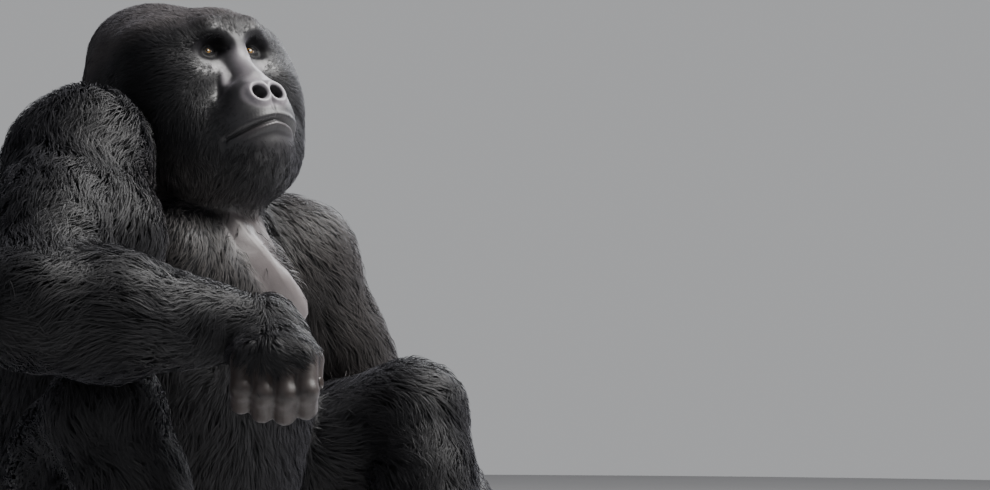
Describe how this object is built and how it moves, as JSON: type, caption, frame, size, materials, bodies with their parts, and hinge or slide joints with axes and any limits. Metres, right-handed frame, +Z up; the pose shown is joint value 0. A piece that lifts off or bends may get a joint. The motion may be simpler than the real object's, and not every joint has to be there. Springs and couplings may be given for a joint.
{
  "type": "seated gorilla model",
  "caption": "Life-size still model of a seated silverback gorilla, head raised, one forearm laid across the front, the other hand on the floor.",
  "frame": {"origin": "middle of the footprint at floor level", "axes": "+Z up, -Y the way the animal faces, +X its left"},
  "size_m": [1.0982, 0.9379, 0.9662],
  "materials": {
    "coat_head": "short fur round a bare, leathery face",
    "ear_skin": "bare skin",
    "eye": "wet, clear over an amber-brown iris",
    "coat_neck": "fur",
    "coat_chest": "fur, thin over the breast",
    "coat_abdomen": "fur",
    "coat_upper_arm_L": "fur",
    "coat_upper_arm_R": "fur",
    "coat_forearm_L": "fur",
    "coat_forearm_R": "fur",
    "bare_skin_hand_L": "creased bare skin, slightly shiny",
    "bare_skin_hand_R": "creased bare skin, slightly shiny",
    "coat_thigh_L": "fur",
    "coat_thigh_R": "fur",
    "coat_shank_L": "fur",
    "coat_shank_R": "fur",
    "bare_skin_foot_L": "creased bare skin, slightly shiny",
    "bare_skin_foot_R": "creased bare skin, slightly shiny"
  },
  "bodies": {
    "root": {"head": "coat_head", "ear_L": "ear_skin", "ear_R": "ear_skin", "eye_L": "eye", "eye_R": "eye", "neck": "coat_neck", "chest": "coat_chest", "abdomen": "coat_abdomen", "upper_arm_L": "coat_upper_arm_L", "upper_arm_R": "coat_upper_arm_R", "forearm_L": "coat_forearm_L", "forearm_R": "coat_forearm_R", "hand_L": "bare_skin_hand_L", "hand_R": "bare_skin_hand_R", "thigh_L": "coat_thigh_L", "thigh_R": "coat_thigh_R", "shank_L": "coat_shank_L", "shank_R": "coat_shank_R", "foot_L": "bare_skin_foot_L", "foot_R": "bare_skin_foot_R"}
  },
  "joints": []
}
